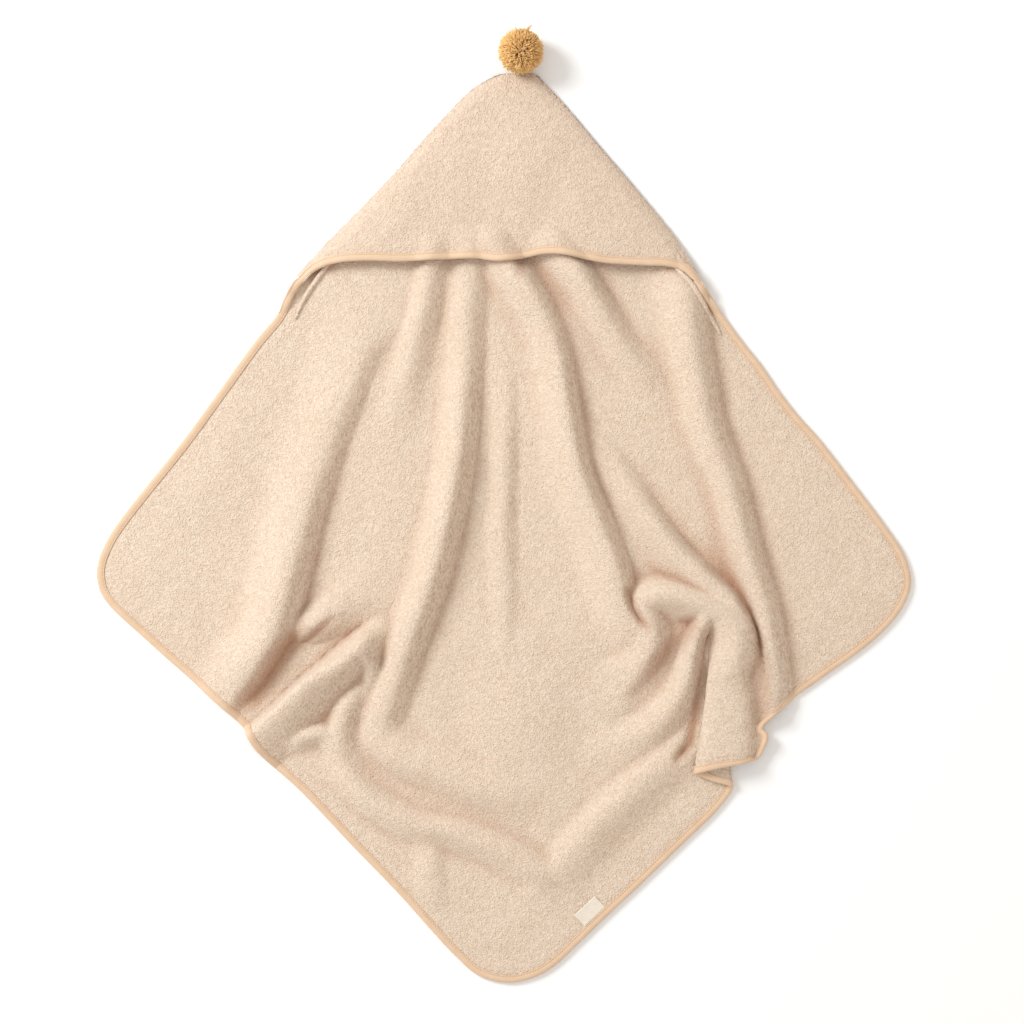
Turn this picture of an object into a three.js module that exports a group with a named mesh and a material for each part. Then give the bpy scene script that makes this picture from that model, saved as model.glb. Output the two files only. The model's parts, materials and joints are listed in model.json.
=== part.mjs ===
import * as THREE from 'three';

// A hooded baby towel lying flat on the floor: X across, Y towards the tip of the hood, Z up.
// Lengths are in millimetres, and the origin is on the floor under the middle of the towel's box.

// Cloth and tape
const CLOTH = 4;                 // terry, with its pile
const GAP = 0.3;                 // between pieces that touch
const TAPE = 0.8;                // one layer of the folded edge tape
const TAPE_WIDTH = 10;           // how far the tape reaches in over the cloth
const LIP = TAPE + GAP;          // the cloth's edge sits this far inside the tape
const TAPE_HEIGHT = CLOTH + GAP + TAPE;
const LIP_RUN = 6;               // the underside comes down to the floor over this distance

// Mesh density
const EDGE_STEPS = 88;
const SEAM_STEPS = 10;
const RINGS = 16;
const HOOD_ROWS = 13;
const HOOD_COLUMNS = 23;

// The tip of the hood and the two corners where the hood meets the long bound edge
const TIP_LEFT = [-6, 477];
const TIP = [15, 480];
const TIP_RIGHT = [36, 477];
const HOOD_LEFT = [-231, 256];
const HOOD_RIGHT = [231, 256];

// The bound edge, from the hood's left corner round the bottom to its right corner
const BOUND_EDGE = [
  HOOD_LEFT, [-255, 204], [-334, 98], [-386, 31], [-434, -40],
  [-447.4, -72], [-436, -104], [-360, -176], [-283, -252], [-224, -311],
  [-114, -426], [-54, -492], [4, -523.6], [62, -502], [106, -457],
  [150, -419], [236, -323], [253, -304], [256, -284], [289, -250],
  [295, -225], [352, -181], [409, -138], [438, -108], [447.4, -80],
  [439, -50], [418, -18], [379, 32], [310, 130], [240, 228], HOOD_RIGHT,
];

// Folds in the body: a crest line, its height, half its width, and how it starts and ends
const FOLDS = [
  { crest: [[-96, 262], [-102, 200], [-134, 120]], height: 15, half: 40 },
  { crest: [[-150, 215], [-190, 125], [-240, 20], [-290, -135]], height: 18, half: 48 },
  { crest: [[-54, 262], [-60, 150], [-78, 30], [-110, -90], [-140, -185]], height: 25, half: 46 },
  { crest: [[-10, 255], [-8, 60], [0, -60], [8, -230]], height: 12, half: 40 },
  { crest: [[20, 262], [48, 130], [75, 30], [105, -50], [150, -125]], height: 25, half: 44 },
  { crest: [[74, 258], [108, 190], [120, 125]], height: 15, half: 36 },
  { crest: [[172, 258], [204, 190], [226, 60], [252, -60], [278, -145]], height: 23, half: 44 },
  { crest: [[84, 85], [145, 20], [205, -42], [276, -130]], height: 16, half: 38 },
  { crest: [[130, -88], [202, -94], [250, -118], [268, -150], [262, -245]], height: 34, half: 46 },
  { crest: [[214, -120], [190, -200], [150, -256]], height: 19, half: 38 },
  { crest: [[-282, -246], [-222, -184], [-170, -140], [-118, -140]], height: 30, half: 44 },
  { crest: [[-196, -246], [-130, -320], [-50, -332], [62, -404]], height: 18, half: 42 },
  { crest: [[36, -408], [75, -340], [140, -275], [205, -210]], height: 18, half: 42 },
];
const FOLD_SAMPLES = 12;
const FOLD_ENDS = 0.3;           // share of a crest over which its height comes and goes
const FLAT_BORDER = 0.16;        // share of the way in from the edge where the folds are full

// Hood: the front layer stands clear of the body to leave a pocket for the head
const POCKET = 21;               // clear height at the middle of the front edge
const POCKET_ROUND = 18;         // how soon the layer lifts away from its seams
const HOOD_REACH = 0.935;        // the front edge crosses the seams this far down them
const HOOD_FULL = 0.91;          // share of the way down where the panel meets the tape's zone
const FRONT_WAVES = [[0.22, 4], [0.62, 8], [0.4, -4], [0.84, -5]];
const WAVE_HALF = 0.12;

// Seam allowances turned inside the hood
const ALLOWANCE = { inset: 11, width: 7, height: 2.2, from: 0.42, to: 0.93, steps: 10 };

// Pompom
const BALL_RADIUS = 23;
const BALL_CENTRE = [20, 500.3, BALL_RADIUS];
const KNOT = [19, 480.2, 7.2];     // both pompom joints turn about the middle of this knot
const KNOT_RADIUS = 2;
const STEM_RADIUS = 1.5;
const BORE_RADIUS = 2.2;
const CORE_RADIUS = 2.0;
const TUFT = { length: 3.5, root: 3.4, tip: 1.2, lift: 28, turn: -14 };

// Label
const LABEL = { length: 31, width: 17, thick: 1, corner: 1.2, along: 0.5585, out: 0.3 };

const terry = new THREE.MeshStandardMaterial({ color: 0xe9d2b9, roughness: 0.95, metalness: 0 });
const tape = new THREE.MeshStandardMaterial({ color: 0xe6c19a, roughness: 0.8, metalness: 0 });
const yarn = new THREE.MeshStandardMaterial({ color: 0xc99a54, roughness: 0.9, metalness: 0 });
const thread = new THREE.MeshStandardMaterial({ color: 0xd9b388, roughness: 0.7, metalness: 0 });
const woven = new THREE.MeshStandardMaterial({ color: 0xf1e6d6, roughness: 0.7, metalness: 0 });

const towel = new THREE.Group();

const flat = ([x, y]) => new THREE.Vector3(x, y, 0);
const smooth = THREE.MathUtils.smoothstep;
const mix = THREE.MathUtils.lerp;

function addPiece(name, geometry, material, parent = towel) {
  const mesh = new THREE.Mesh(geometry, material);
  mesh.name = name;
  parent.add(mesh);
  return mesh;
}

// A closed solid from points and triangles, turned so that its faces point out.
function solid(points, triangles) {
  let volume = 0;
  for (const [a, b, c] of triangles) {
    volume += points[a].dot(new THREE.Vector3().crossVectors(points[b], points[c]));
  }
  const geometry = new THREE.BufferGeometry().setFromPoints(points);
  geometry.setIndex(triangles.flatMap(([a, b, c]) => (volume > 0 ? [a, b, c] : [a, c, b])));
  geometry.computeVertexNormals();
  return geometry;
}

// A solid swept through sections: closed outlines with the same number of points.
function sweptSolid(sections, capTriangles) {
  const count = sections[0].length;
  const points = sections.flat();
  const triangles = [];
  for (let s = 0; s + 1 < sections.length; s += 1) {
    for (let i = 0; i < count; i += 1) {
      const a = s * count + i;
      const b = s * count + (i + 1) % count;
      triangles.push([a, b, b + count], [a, b + count, a + count]);
    }
  }
  const last = (sections.length - 1) * count;
  for (const [a, b, c] of capTriangles) {
    triangles.push([a, c, b], [a + last, b + last, c + last]);
  }
  return solid(points, triangles);
}

// Cap triangles for a section that runs along a top row and back along the bottom row.
function ribbonCap(columns) {
  const triangles = [];
  for (let i = 0; i + 1 < columns; i += 1) {
    const under = 2 * columns - 1 - i;
    triangles.push([i, i + 1, under], [i + 1, under - 1, under]);
  }
  return triangles;
}

// Level unit normals of a level path, on the left of its direction.
function leftNormals(path, closed) {
  return path.map((_, i) => {
    const before = closed ? path[(i - 1 + path.length) % path.length] : path[Math.max(i - 1, 0)];
    const after = closed ? path[(i + 1) % path.length] : path[Math.min(i + 1, path.length - 1)];
    return new THREE.Vector3(before.y - after.y, after.x - before.x, 0).normalize();
  });
}

// Edge tape: a U that wraps the cloth's edge. Across runs in from the edge, and up is height.
const TAPE_SECTION = [
  [0, 1.2], [1.2, 0], [TAPE_WIDTH, 0], [TAPE_WIDTH, TAPE], [TAPE, TAPE],
  [TAPE, TAPE_HEIGHT - TAPE], [TAPE_WIDTH, TAPE_HEIGHT - TAPE],
  [TAPE_WIDTH, TAPE_HEIGHT], [1.2, TAPE_HEIGHT], [0, TAPE_HEIGHT - 1.2],
];

function tapeAlong(path, normals) {
  const sections = path.map((point, i) => TAPE_SECTION.map(([across, up]) => (
    point.clone().addScaledVector(normals[i], across).add(new THREE.Vector3(0, 0, up)))));
  const outline = TAPE_SECTION.map(([across, up]) => new THREE.Vector2(across, up));
  return sweptSolid(sections, THREE.ShapeUtils.triangulateShape(outline, []));
}

// The height that the folds lift the body to at a place on it
const foldLines = FOLDS.map(({ crest, height, half }) => {
  const curve = new THREE.CatmullRomCurve3(crest.map(flat), false, 'centripetal');
  return { line: curve.getSpacedPoints(FOLD_SAMPLES), height, half };
});

function foldHeight(x, y) {
  const place = flat([x, y]);
  const foot = new THREE.Vector3();
  let rise = 0;
  for (const { line, height, half } of foldLines) {
    let nearest = Infinity;
    let along = 0;
    for (let i = 0; i < FOLD_SAMPLES; i += 1) {
      const segment = new THREE.Line3(line[i], line[i + 1]);
      const share = segment.closestPointToPointParameter(place, true);
      const distance = segment.at(share, foot).distanceTo(place);
      if (distance < nearest) {
        nearest = distance;
        along = (i + share) / FOLD_SAMPLES;
      }
    }
    if (nearest < half) {
      const ends = smooth(along, 0, FOLD_ENDS) * smooth(1 - along, 0, FOLD_ENDS);
      rise = Math.max(rise, height * ends * (0.5 + 0.5 * Math.cos(Math.PI * nearest / half)));
    }
  }
  return rise;
}

// Outline of the body, anticlockwise from above: tip, left seam, bound edge, right seam
const edgeCurve = new THREE.CatmullRomCurve3(BOUND_EDGE.map(flat), false, 'centripetal');
const edgePath = edgeCurve.getSpacedPoints(EDGE_STEPS);

function between(from, to, steps) {
  return Array.from({ length: steps }, (_, i) => flat(from).lerp(flat(to), i / steps));
}

const outline = [
  ...between(TIP, TIP_LEFT, 1),
  ...between(TIP_LEFT, HOOD_LEFT, SEAM_STEPS),
  ...edgePath.slice(0, -1),
  ...between(HOOD_RIGHT, TIP_RIGHT, SEAM_STEPS),
  ...between(TIP_RIGHT, TIP, 1),
];
const outlineNormals = leftNormals(outline, true);

// Body: two skins of rings, from the outline in to one point at the middle
function bodyPanel() {
  const middle = new THREE.Vector3(0, -20, 0);
  const inset = (distance) => outline.map((point, i) => (
    point.clone().addScaledVector(outlineNormals[i], distance)));
  const inner = inset(TAPE_WIDTH + GAP + LIP_RUN);
  const rings = [
    { points: inset(LIP), lift: LIP, folds: 0 },
    { points: inset(TAPE_WIDTH + GAP), lift: LIP, folds: 0 },
  ];
  for (let r = 0; r < RINGS; r += 1) {
    const inward = r / RINGS;
    rings.push({
      points: inner.map((point) => point.clone().lerp(middle, inward)),
      lift: 0,
      folds: smooth(inward, 0, FLAT_BORDER),
    });
  }
  const count = outline.length;
  const points = [];
  for (const side of ['top', 'bottom']) {
    for (const { points: ring, lift, folds } of rings) {
      for (const { x, y } of ring) {
        const rise = folds * foldHeight(x, y);
        points.push(new THREE.Vector3(x, y, side === 'top' ? CLOTH + rise : lift + rise));
      }
    }
  }
  const half = rings.length * count;
  const rise = foldHeight(middle.x, middle.y);
  points.push(new THREE.Vector3(middle.x, middle.y, CLOTH + rise));
  points.push(new THREE.Vector3(middle.x, middle.y, rise));
  const triangles = [];
  for (let i = 0; i < count; i += 1) {
    const next = (i + 1) % count;
    for (let r = 0; r + 1 < rings.length; r += 1) {
      const a = r * count + i;
      const b = r * count + next;
      triangles.push([a, b, b + count], [a, b + count, a + count]);
      triangles.push([half + b, half + a, half + b + count]);
      triangles.push([half + b + count, half + a, half + a + count]);
    }
    const innermost = (rings.length - 1) * count;
    triangles.push([innermost + i, innermost + next, 2 * half]);
    triangles.push([half + innermost + next, half + innermost + i, 2 * half + 1]);
    triangles.push([next, i, half + i], [next, half + i, half + next]);
  }
  return solid(points, triangles);
}

// A place on the underside of the hood's front layer, above the body: across from the left seam
// to the right, and down from the tip
function hoodPlace(across, down) {
  const left = flat(TIP_LEFT).lerp(flat(HOOD_LEFT), down * HOOD_REACH);
  const right = flat(TIP_RIGHT).lerp(flat(HOOD_RIGHT), down * HOOD_REACH);
  const place = left.clone().lerp(right, across);
  for (const [at, size] of FRONT_WAVES) {
    const near = Math.min(1, Math.abs(across - at) / WAVE_HALF);
    place.y += size * Math.cos(0.5 * Math.PI * near) * down ** 4;
  }
  const fromSeam = Math.min(across, 1 - across) * left.distanceTo(right) * Math.SQRT1_2;
  place.z = CLOTH + GAP + POCKET * down ** 0.6 * (1 - Math.exp(-fromSeam / POCKET_ROUND));
  return place;
}

// Level direction into the hood from its front edge, as long as it takes to rise 1 in Y
function hoodInward(across) {
  const inward = hoodPlace(across, 0.9).sub(hoodPlace(across, 1));
  return inward.setZ(0).divideScalar(inward.y);
}

// Hood's front layer, down to where the tape wraps it
function hoodPanel() {
  const columns = Array.from({ length: HOOD_COLUMNS }, (_, c) => c / (HOOD_COLUMNS - 1));
  const front = (inset) => columns.map((across) => (
    hoodPlace(across, 1).addScaledVector(hoodInward(across), inset)));
  const rows = Array.from({ length: HOOD_ROWS }, (_, r) => (
    { places: columns.map((across) => hoodPlace(across, HOOD_FULL * r / (HOOD_ROWS - 1))), lift: 0 }));
  rows.push({ places: front(TAPE_WIDTH + GAP), lift: LIP });
  rows.push({ places: front(LIP), lift: LIP });
  const sections = rows.map(({ places, lift }) => [
    ...places.map((place) => place.clone().add(new THREE.Vector3(0, 0, CLOTH))),
    ...places.map((place) => place.clone().add(new THREE.Vector3(0, 0, lift))).reverse(),
  ]);
  return sweptSolid(sections, ribbonCap(HOOD_COLUMNS));
}

function hoodTape() {
  const path = [];
  const inward = [];
  for (let c = HOOD_COLUMNS - 1; c >= 0; c -= 1) {
    const across = c / (HOOD_COLUMNS - 1);
    path.push(hoodPlace(across, 1));
    inward.push(hoodInward(across));
  }
  return tapeAlong(path, inward);
}

// Seam allowance inside the hood, beside one seam
function seamAllowance(side) {
  const sections = [];
  for (let i = 0; i <= ALLOWANCE.steps; i += 1) {
    const down = mix(ALLOWANCE.from, ALLOWANCE.to, i / ALLOWANCE.steps);
    const [tip, corner] = side < 0 ? [TIP_LEFT, HOOD_LEFT] : [TIP_RIGHT, HOOD_RIGHT];
    const seam = flat(tip).lerp(flat(corner), down * HOOD_REACH);
    const inward = new THREE.Vector3(-side, -1, 0).normalize();
    const low = CLOTH + GAP;
    sections.push([[0, 0], [ALLOWANCE.width, 0], [ALLOWANCE.width, 1], [0, 1]].map(([across, up]) => (
      seam.clone().addScaledVector(inward, ALLOWANCE.inset + across).setZ(low + up * ALLOWANCE.height))));
  }
  return sweptSolid(sections, [[0, 1, 2], [0, 2, 3]]);
}

// Ball of yarn with a blind bore for the knot that ties it, then turned to face that knot
function pompom() {
  const ball = new THREE.Group();
  ball.position.set(...BALL_CENTRE);
  const towardsKnot = new THREE.Vector3(...KNOT).sub(ball.position);
  const reach = towardsKnot.length();
  ball.quaternion.setFromUnitVectors(new THREE.Vector3(0, 1, 0), towardsKnot.normalize());
  const mouth = Math.asin(BORE_RADIUS / BALL_RADIUS);
  const profile = [new THREE.Vector2(0, -BALL_RADIUS)];
  const arcs = 12;
  for (let i = 1; i <= arcs; i += 1) {
    const angle = mix(-Math.PI / 2, Math.PI / 2 - mouth, i / arcs);
    profile.push(new THREE.Vector2(BALL_RADIUS * Math.cos(angle), BALL_RADIUS * Math.sin(angle)));
  }
  profile.push(new THREE.Vector2(BORE_RADIUS, -CORE_RADIUS), new THREE.Vector2(0, -CORE_RADIUS));
  addPiece('pompom_ball', new THREE.LatheGeometry(profile, 24), yarn, ball);

  const stemEnd = reach - KNOT_RADIUS - GAP;
  const stem = new THREE.LatheGeometry([
    new THREE.Vector2(0, GAP - CORE_RADIUS), new THREE.Vector2(STEM_RADIUS, GAP - CORE_RADIUS),
    new THREE.Vector2(STEM_RADIUS, stemEnd - 0.6), new THREE.Vector2(0.8, stemEnd),
    new THREE.Vector2(0, stemEnd),
  ], 10);
  addPiece('pompom_core_thread', stem, thread, ball);
  towel.add(ball);

  const tuft = new THREE.Group();
  tuft.position.set(...BALL_CENTRE);
  const lift = THREE.MathUtils.degToRad(TUFT.lift);
  const turn = THREE.MathUtils.degToRad(TUFT.turn);
  const outward = new THREE.Vector3(
    -Math.sin(turn) * Math.cos(lift), Math.cos(turn) * Math.cos(lift), Math.sin(lift));
  tuft.quaternion.setFromUnitVectors(new THREE.Vector3(0, 1, 0), outward);
  const foot = BALL_RADIUS + GAP;
  const tuftGeometry = new THREE.LatheGeometry([
    new THREE.Vector2(0, foot), new THREE.Vector2(TUFT.root, foot),
    new THREE.Vector2(TUFT.tip, foot + TUFT.length), new THREE.Vector2(0, foot + TUFT.length),
  ], 8);
  addPiece('pompom_tuft', tuftGeometry, yarn, tuft);
  towel.add(tuft);
}

function tieKnot() {
  const profile = [];
  for (let i = 0; i <= 8; i += 1) {
    const angle = mix(-Math.PI / 2, Math.PI / 2, i / 8);
    profile.push(new THREE.Vector2(KNOT_RADIUS * Math.cos(angle), KNOT_RADIUS * Math.sin(angle)));
  }
  profile[0].x = 0;
  profile[8].x = 0;
  const knot = addPiece('pompom_tie_knot', new THREE.LatheGeometry(profile, 12), thread);
  knot.position.set(...KNOT);
}

// Folded label, sewn along its long outer side just inside the edge tape
function label() {
  const { length, width, thick, corner } = LABEL;
  const edge = edgeCurve.getPointAt(LABEL.along);
  const tangent = edgeCurve.getTangentAt(LABEL.along);
  const shape = new THREE.Shape();
  shape.moveTo(-length / 2, 0);
  shape.lineTo(length / 2, 0);
  shape.lineTo(length / 2, width - corner);
  shape.absarc(length / 2 - corner, width - corner, corner, 0, Math.PI / 2, false);
  shape.absarc(-length / 2 + corner, width - corner, corner, Math.PI / 2, Math.PI, false);
  shape.lineTo(-length / 2, 0);
  const geometry = new THREE.ExtrudeGeometry(shape, {
    depth: thick, bevelEnabled: false, curveSegments: 4,
  });
  const tab = addPiece('label_tab', geometry, woven);
  tab.rotation.z = Math.atan2(tangent.y, tangent.x);
  const inward = new THREE.Vector3(-tangent.y, tangent.x, 0);
  tab.position.copy(edge).addScaledVector(inward, TAPE_WIDTH + LABEL.out);
  tab.position.z = CLOTH + GAP;
}

addPiece('body_panel', bodyPanel(), terry);
addPiece('hood_panel', hoodPanel(), terry);
addPiece('edge_binding', tapeAlong(edgePath, leftNormals(edgePath, false)), tape);
addPiece('hood_front_binding', hoodTape(), tape);
addPiece('hood_seam_allowance_left', seamAllowance(-1), terry);
addPiece('hood_seam_allowance_right', seamAllowance(1), terry);
tieKnot();
pompom();
label();

export default towel;
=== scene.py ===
"""A hooded baby towel laid out on a pale floor: terry cloth, edge tape, yarn pompom and label."""

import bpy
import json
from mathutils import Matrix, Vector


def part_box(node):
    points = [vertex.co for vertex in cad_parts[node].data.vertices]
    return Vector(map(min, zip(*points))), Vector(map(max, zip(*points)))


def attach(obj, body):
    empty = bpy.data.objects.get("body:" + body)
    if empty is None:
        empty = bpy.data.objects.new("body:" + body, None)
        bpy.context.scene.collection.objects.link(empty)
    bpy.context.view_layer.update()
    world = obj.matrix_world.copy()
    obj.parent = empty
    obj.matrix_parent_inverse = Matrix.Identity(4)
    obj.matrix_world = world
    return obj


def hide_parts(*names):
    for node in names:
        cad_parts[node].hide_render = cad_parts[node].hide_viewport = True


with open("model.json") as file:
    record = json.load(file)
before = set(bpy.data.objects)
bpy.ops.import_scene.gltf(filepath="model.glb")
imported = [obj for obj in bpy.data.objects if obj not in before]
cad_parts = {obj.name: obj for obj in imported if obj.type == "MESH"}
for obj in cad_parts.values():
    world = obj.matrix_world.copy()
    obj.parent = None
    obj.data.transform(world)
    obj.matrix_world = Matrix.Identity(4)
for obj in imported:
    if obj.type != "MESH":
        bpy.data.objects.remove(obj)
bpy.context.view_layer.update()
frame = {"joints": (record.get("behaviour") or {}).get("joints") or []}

import json
import math

import bmesh
import bpy
import numpy as np
from mathutils import Vector

MM = 0.001
rng = np.random.default_rng(20)

# ---------------------------------------------------------------- sizes, in millimetres

THICK = 4.0              # terry with its pile
TAPED_THICK = 2.6        # terry pressed inside the edge tape
TAPE_HALF = 2.7          # half the taped edge's height
FLOOR_GAP = 0.2
SHEET_CELLS = 220        # along each side of the body

# Outline of the body seen from above, anticlockwise from the tip
TIP = (15, 478.5)
SEAM_LEFT = [
    (-4, 476), (-20, 468.5), (-36, 459), (-62, 433), (-88, 405), (-111, 378), (-137, 350),
    (-163, 323), (-191, 295), (-215, 269), (-226, 257)]
SEAM_RIGHT = [
    (212, 258), (204, 272), (190, 295), (148, 347), (99, 404), (76, 431), (49, 459), (34, 476)]
EDGE_TO_LEFT_CORNER = [
    (-236, 241), (-249, 213), (-272, 185), (-312, 130), (-352, 75), (-396, 20), (-418, -8),
    (-436, -35), (-446, -60), (-447, -76)]
EDGE_TO_BOTTOM = [
    (-440, -98), (-389, -148), (-334, -197), (-280, -248), (-266, -271), (-224, -310),
    (-169, -368), (-114, -425), (-54, -491), (-28, -513), (5, -521)]
EDGE_TO_RIGHT_CORNER = [
    (36, -514), (56, -502), (86, -474), (114, -447), (144, -419), (173, -391), (202, -363),
    (231, -335), (249, -313), (262, -291), (273, -272), (288, -268), (301, -268), (303, -259),
    (303, -244), (300, -235), (303, -227), (313, -213), (344, -190), (408, -143), (437, -110),
    (447, -82)]
EDGE_TO_HOOD = [
    (440, -52), (418, -18), (381, 31), (347, 75), (322, 103), (301, 130), (282, 158),
    (262, 183), (243, 209), (232, 226), (223, 241)]

# Front edge of the hood, from its left corner to its right one; its tape runs on over the
# tape of the body
HOOD_FRONT = [
    (-221, 247), (-212, 257), (-200, 264), (-182, 269), (-150, 271), (-114, 270), (-70, 272),
    (-30, 273), (-6, 270), (18, 273), (45, 278), (73, 276), (106, 269), (150, 266), (178, 265),
    (194, 261), (204, 253), (211, 243)]
HOOD_TAPE_LEFT = [(-240, 212), (-234, 226), (-228, 238)]
HOOD_TAPE_RIGHT = [(217, 233), (225, 221), (233, 209)]

# Folds: the crest as (x, y, height), and how far the fold reaches on the right and on the left
# of its direction of travel, at its start and at its end
FOLDS = {
    "left_short": dict(
        crest=[(-79, 284, 8), (-85, 240, 11), (-95, 196, 11), (-106, 152, 8), (-116, 108, 4),
               (-122, 70, 1)],
        right=(18, 26), left=(20, 28), crisp=(0.2, 0.4)),
    "left_long": dict(
        crest=[(-130, 205, 2), (-150, 180, 7), (-172, 128, 11), (-194, 69, 13), (-214, 9, 18),
               (-229, -46, 23), (-243, -101, 26), (-258, -145, 26), (-280, -176, 21),
               (-304, -207, 9)],
        right=(68, 50), left=(20, 26), crisp=(0.0, 0.6)),
    "middle_left": dict(
        crest=[(-36, 285, 7), (-40, 229, 11), (-42, 180, 12), (-46, 119, 18), (-52, 53, 24),
               (-64, -13, 24), (-81, -79, 22), (-103, -139, 20), (-123, -200, 15),
               (-139, -249, 6)],
        right=(26, 34), left=(21, 22), crisp=(0.1, 0.5)),
    "middle": dict(
        crest=[(1, 180, 0.5), (2, 120, 4), (1, 64, 7), (-1, -24, 7), (1, -123, 5), (4, -211, 3),
               (6, -260, 1)],
        right=(20, 26), left=(16, 20), crisp=(0.0, 0.1)),
    "middle_right": dict(
        crest=[(-8, 290, 13), (3, 271, 18), (18, 253, 20), (30, 235, 20), (42, 214, 18),
               (52, 188, 17), (60, 158, 19), (67, 115, 22), (75, 70, 24), (85, 31, 24),
               (103, -15, 23), (119, -57, 22), (128, -88, 20), (136, -112, 18), (148, -131, 15),
               (163, -142, 6)],
        right=(34, 44), left=(17, 18), crisp=(0.1, 0.5)),
    "right_short": dict(
        crest=[(56, 288, 13), (70, 271, 17), (86, 251, 19), (99, 229, 18), (112, 207, 16),
               (128, 180, 13), (146, 156, 9), (168, 128, 2)],
        right=(30, 30), left=(17, 20), crisp=(0.0, 0.6)),
    "right_long": dict(
        crest=[(182, 285, 1), (190, 262, 8), (198, 229, 18), (204, 185, 21), (212, 141, 21),
               (220, 97, 21), (232, 60, 21), (245, 27, 21), (259, -30, 21), (272, -76, 21),
               (282, -106, 21), (288, -137, 20), (293, -168, 18), (297, -196, 15), (299, -222, 9)],
        right=(46, 10), left=(26, 20), crisp=(0.1, 0.55)),
    "right_diagonal": dict(
        crest=[(97, 72, 2), (128, 36, 9), (152, 3, 14), (165, -16, 17), (186, -43, 20),
               (208, -64, 22), (231, -84, 23), (250, -100, 23), (262, -116, 22), (271, -134, 20),
               (275, -158, 17), (276, -180, 14)],
        right=(36, 28), left=(18, 8), crisp=(0.1, 0.75)),
    "curl": dict(
        crest=[(147, -106, 14), (157, -97, 21), (172, -93, 25), (197, -96, 27), (228, -107, 27),
               (250, -121, 26), (263, -142, 24), (268, -170, 18)],
        right=(30, 34), left=(22, 14), crisp=(0.2, 0.3)),
    "curl_lobe": dict(
        crest=[(152, -110, 17), (160, -124, 19), (162, -142, 18), (155, -167, 14), (138, -192, 8),
               (114, -220, 2)],
        right=(22, 46), left=(22, 26), crisp=(0.4, 0.3)),
    "curl_inside": dict(
        crest=[(221, -120, 20), (212, -138, 20), (205, -165, 19), (198, -192, 17), (184, -217, 15),
               (164, -238, 12), (137, -256, 7), (106, -272, 2)],
        right=(12, 32), left=(11, 34), crisp=(0.4, 0.4)),
    "pleat_left": dict(
        crest=[(-277, -262, 18), (-236, -223, 24), (-212, -199, 28), (-190, -179, 29),
               (-166, -157, 28), (-152, -144, 24), (-142, -133, 10)],
        right=(34, 28), left=(20, 14), lean=9, crisp=(0.45, 0.5)),
    "pleat_end": dict(
        crest=[(-158, -150, 22), (-149, -160, 22), (-146, -178, 13), (-152, -200, 4)],
        right=(16, 18), left=(13, 14), crisp=(0.2, 0.6)),
    "pleat_upper": dict(
        crest=[(-234, -139, 9), (-220, -133, 15), (-203, -124, 16), (-186, -112, 13),
               (-168, -98, 8), (-150, -80, 3)],
        right=(12, 44), left=(22, 34), crisp=(0.5, 0.1)),
    "under_pleat": dict(
        crest=[(-234, -259, 6), (-216, -248, 11), (-198, -247, 11), (-187, -262, 7),
               (-180, -285, 2)],
        right=(16, 16), left=(10, 12), crisp=(0.2, 0.5)),
    "under_pleat_right": dict(
        crest=[(-160, -200, 8), (-172, -214, 12), (-179, -236, 12), (-180, -268, 9),
               (-165, -300, 4)],
        right=(13, 20), left=(22, 24), crisp=(0.5, 0.2)),
    "belly_rim": dict(
        crest=[(-143, -228, 5), (-139, -250, 9), (-120, -269, 12), (-87, -286, 12),
               (-43, -303, 11), (1, -317, 10), (34, -333, 3)],
        right=(20, 22), left=(34, 50), crisp=(0.45, 0.0)),
    "vee_left": dict(
        crest=[(-185, -276, 4), (-169, -294, 11), (-141, -321, 14), (-96, -345, 14),
               (-51, -355, 13), (3, -376, 13), (45, -400, 10), (70, -414, 2)],
        right=(22, 26), left=(16, 18), crisp=(0.4, 0.2)),
    "vee_right": dict(
        crest=[(40, -412, 4), (64, -390, 9), (92, -356, 12), (144, -305, 12), (180, -275, 9),
               (205, -252, 3)],
        right=(46, 40), left=(26, 26), crisp=(0.1, 0.2)),
    "small_bottom": dict(
        crest=[(-84, -360, 3), (-80, -385, 6), (-78, -412, 5), (-72, -445, 1)],
        right=(26, 30), left=(16, 18), crisp=(0.0, 0.5)),
    "belly": dict(
        crest=[(10, -170, 4), (20, -230, 9), (24, -290, 5)],
        right=(80, 80), left=(80, 80), crisp=(0.0, 0.0)),
}
CREST_SEGMENTS = 36

# Creases and pockets: points (x, y, depth), half width, and how deep the shade in it is
HOLLOWS = [
    ([(222, -64, 4), (246, -85, 7), (264, -111, 9), (276, -131, 9), (284, -152, 9),
      (291, -180, 9), (296, -208, 8), (299, -228, 5)], 5.5, 0.6),
    ([(216, -142, 2), (214, -180, 5), (211, -215, 8), (207, -240, 11), (203, -258, 11),
      (190, -274, 5)], 8, 1.0),
    ([(204, -127, 5), (193, -141, 8), (178, -158, 7), (162, -180, 4), (142, -206, 2)], 14, 0.75),
    ([(136, -90, 5), (139, -103, 7), (146, -117, 6), (157, -130, 3)], 7.5, 0.9),
    ([(-222, -133, 3), (-235, -147, 8), (-247, -164, 9), (-258, -183, 8), (-272, -202, 7),
      (-289, -220, 3)], 15, 1.0),
    ([(-188, -121, 2), (-206, -135, 5), (-228, -152, 6), (-242, -168, 4)], 7, 0.75),
    ([(15, 272, 5), (20, 255, 2)], 9, 0.7),
    ([(-212, 255, 1), (-203, 264, 2), (-188, 268, 1)], 8, 1.0),
    ([(184, 263, 1), (196, 258, 1.5), (206, 248, 1)], 9, 0.55),
]

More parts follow.
